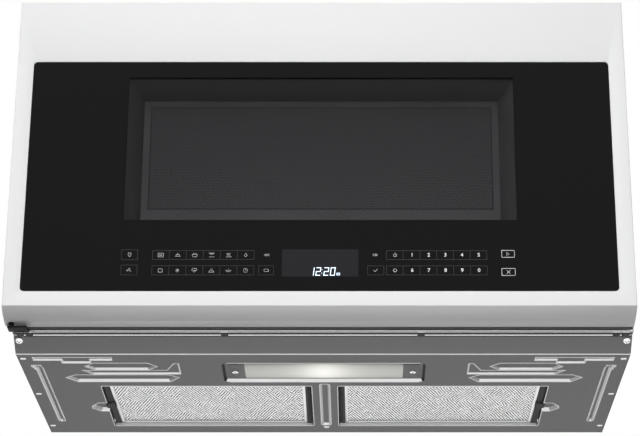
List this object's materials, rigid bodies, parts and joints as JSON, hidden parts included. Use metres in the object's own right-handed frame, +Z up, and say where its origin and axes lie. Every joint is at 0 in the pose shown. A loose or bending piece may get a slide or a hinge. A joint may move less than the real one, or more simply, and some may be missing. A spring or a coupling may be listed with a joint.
{
  "type": "over the range microwave",
  "caption": "Over the range microwave with a full-width side-hinged glass door, touch controls below the window, grease filters and a cooktop light underneath.",
  "frame": {"origin": "middle of the footprint on the plane of the base plate", "axes": "+X to the viewer's right, +Y from the door to the wall, +Z up"},
  "size_m": [0.76, 0.413, 0.4422],
  "materials": {
    "white_paint": "gloss white enamel paint",
    "grey_paint": "satin grey paint",
    "cavity_enamel": "speckled grey enamel",
    "black_steel": "black painted steel",
    "dark_screen": "black painted perforated steel",
    "black_glass": "black printed glass with a clear window",
    "clear_glass": "clear glass",
    "black_moulding": "fine textured black moulding",
    "white_moulding": "satin white moulding",
    "nylon": "natural nylon",
    "display_black": "black display with light digits",
    "circuit_board": "green circuit board",
    "zinc_steel": "zinc plated steel",
    "aluminium": "bare aluminium",
    "heater_steel": "dark oxidised heater sheath",
    "frosted_lens": "frosted lens, lit from behind",
    "mica": "mica sheet",
    "charcoal_pad": "charcoal pad in a black frame",
    "copper_core": "varnished laminations and copper wire"
  },
  "bodies": {
    "cabinet": {"hinge_brackets": "black_steel", "outer_case": "white_paint", "cord_gland": "black_moulding", "cabinet_bolt_nuts": "zinc_steel", "back_panel": "zinc_steel", "base_plate": "grey_paint", "cabinet_screws": "zinc_steel", "front_trim": "zinc_steel", "front_plate": "cavity_enamel", "vent_grille": "white_moulding", "charcoal_filter": "charcoal_pad", "light_lens": "frosted_lens", "light_end_plates": "grey_paint", "light_housing": "zinc_steel", "oven_cavity": "cavity_enamel", "cavity_lamp": "white_moulding", "waveguide_cover": "mica", "grill_element": "heater_steel", "thermal_cutouts": "nylon", "convection_cover": "cavity_enamel", "convection_housing": "zinc_steel", "convection_heater": "heater_steel", "turntable_motor": "zinc_steel", "blower_housing": "zinc_steel", "blower_motor": "zinc_steel", "component_tray": "zinc_steel", "transformer": "copper_core", "capacitor": "aluminium", "magnetron": "zinc_steel", "cooling_housing": "black_moulding", "power_board": "circuit_board", "interlock_bracket": "nylon", "interlock_switches": "black_moulding"},
    "door": {"door_frame": "white_paint", "hinge_bushes": "nylon", "door_glass": "black_glass", "window_bezel": "black_moulding", "window_screen": "dark_screen", "inner_window": "clear_glass", "choke_panel": "cavity_enamel", "choke_cover": "black_moulding", "door_back_cover": "black_moulding", "latch_spring": "zinc_steel", "display_module": "display_black", "control_boards": "circuit_board"},
    "door_latch": {"door_latch": "nylon"},
    "switch_plungers": {"switch_plungers": "nylon"},
    "left_filter": {"left_grease_filter": "aluminium", "left_filter_strips": "black_moulding"},
    "right_filter": {"right_grease_filter": "aluminium", "right_filter_strips": "black_moulding"},
    "turntable": {"glass_turntable": "clear_glass", "drive_coupler": "nylon"},
    "roller_ring": {"roller_ring": "nylon"},
    "roller_wheel_1": {"roller_wheel_1": "nylon"},
    "roller_wheel_2": {"roller_wheel_2": "nylon"},
    "roller_wheel_3": {"roller_wheel_3": "nylon"},
    "blower_wheels": {"blower_wheels": "zinc_steel"},
    "convection_fan": {"convection_fan": "aluminium"},
    "cooling_fan": {"cooling_fan": "black_moulding"}
  },
  "joints": [
    {"name": "door_hinge", "type": "hinge", "parent": "cabinet", "child": "door", "pos_m": [-0.372, -0.1735, 0.0204], "axis": [0, 0, -1], "range_deg": [0, 110]},
    {"name": "latch_slide", "type": "slide", "parent": "door", "child": "door_latch", "axis": [0, 0, 1], "range_m": [0, 0.004], "stiffness_N_per_m": 250, "springref_m": -0.004, "deforming": ["latch_spring"]},
    {"name": "plunger_slide", "type": "slide", "parent": "cabinet", "child": "switch_plungers", "axis": [0, 1, 0], "range_m": [0, 0.0015], "stiffness_N_per_m": 200, "springref_m": -0.003},
    {"name": "left_filter_tilt", "type": "hinge", "parent": "cabinet", "child": "left_filter", "pos_m": [-0.0147, 0.089, 0.0035], "axis": [0, -1, 0], "range_deg": [0, 35]},
    {"name": "right_filter_tilt", "type": "hinge", "parent": "cabinet", "child": "right_filter", "pos_m": [0.0217, 0.089, 0.0035], "axis": [0, 1, 0], "range_deg": [0, 35]},
    {"name": "turntable_spin", "type": "hinge", "parent": "cabinet", "child": "turntable", "pos_m": [-0.02, -0.0055, 0.102], "axis": [0, 0, 1], "continuous": true},
    {"name": "roller_ring_spin", "type": "hinge", "parent": "cabinet", "child": "roller_ring", "pos_m": [-0.02, -0.0055, 0.10985], "axis": [0, 0, 1], "continuous": true},
    {"name": "blower_spin", "type": "hinge", "parent": "cabinet", "child": "blower_wheels", "pos_m": [0.0035, 0.1545, 0.396], "axis": [1, 0, 0], "continuous": true},
    {"name": "convection_fan_spin", "type": "hinge", "parent": "cabinet", "child": "convection_fan", "pos_m": [-0.02, 0.1495, 0.232], "axis": [0, 1, 0], "continuous": true},
    {"name": "cooling_fan_spin", "type": "hinge", "parent": "cabinet", "child": "cooling_fan", "pos_m": [0.3125, 0.1465, 0.168], "axis": [0, 1, 0], "continuous": true},
    {"name": "roller_wheel_1_spin", "type": "hinge", "parent": "roller_ring", "child": "roller_wheel_1", "pos_m": [-0.02, 0.0928, 0.10985], "axis": [0, 1, 0], "continuous": true},
    {"name": "roller_wheel_2_spin", "type": "hinge", "parent": "roller_ring", "child": "roller_wheel_2", "pos_m": [-0.10513, -0.05465, 0.10985], "axis": [-0.866, -0.5, 0], "continuous": true},
    {"name": "roller_wheel_3_spin", "type": "hinge", "parent": "roller_ring", "child": "roller_wheel_3", "pos_m": [0.06513, -0.05465, 0.10985], "axis": [0.866, -0.5, 0], "continuous": true}
  ],
  "couplings": [
    {"joint": "roller_ring_spin", "follows": "turntable_spin", "ratio": 0.5},
    {"joint": "roller_wheel_1_spin", "follows": "turntable_spin", "ratio": -6.5533},
    {"joint": "roller_wheel_2_spin", "follows": "turntable_spin", "ratio": -6.5533},
    {"joint": "roller_wheel_3_spin", "follows": "turntable_spin", "ratio": -6.5533}
  ]
}
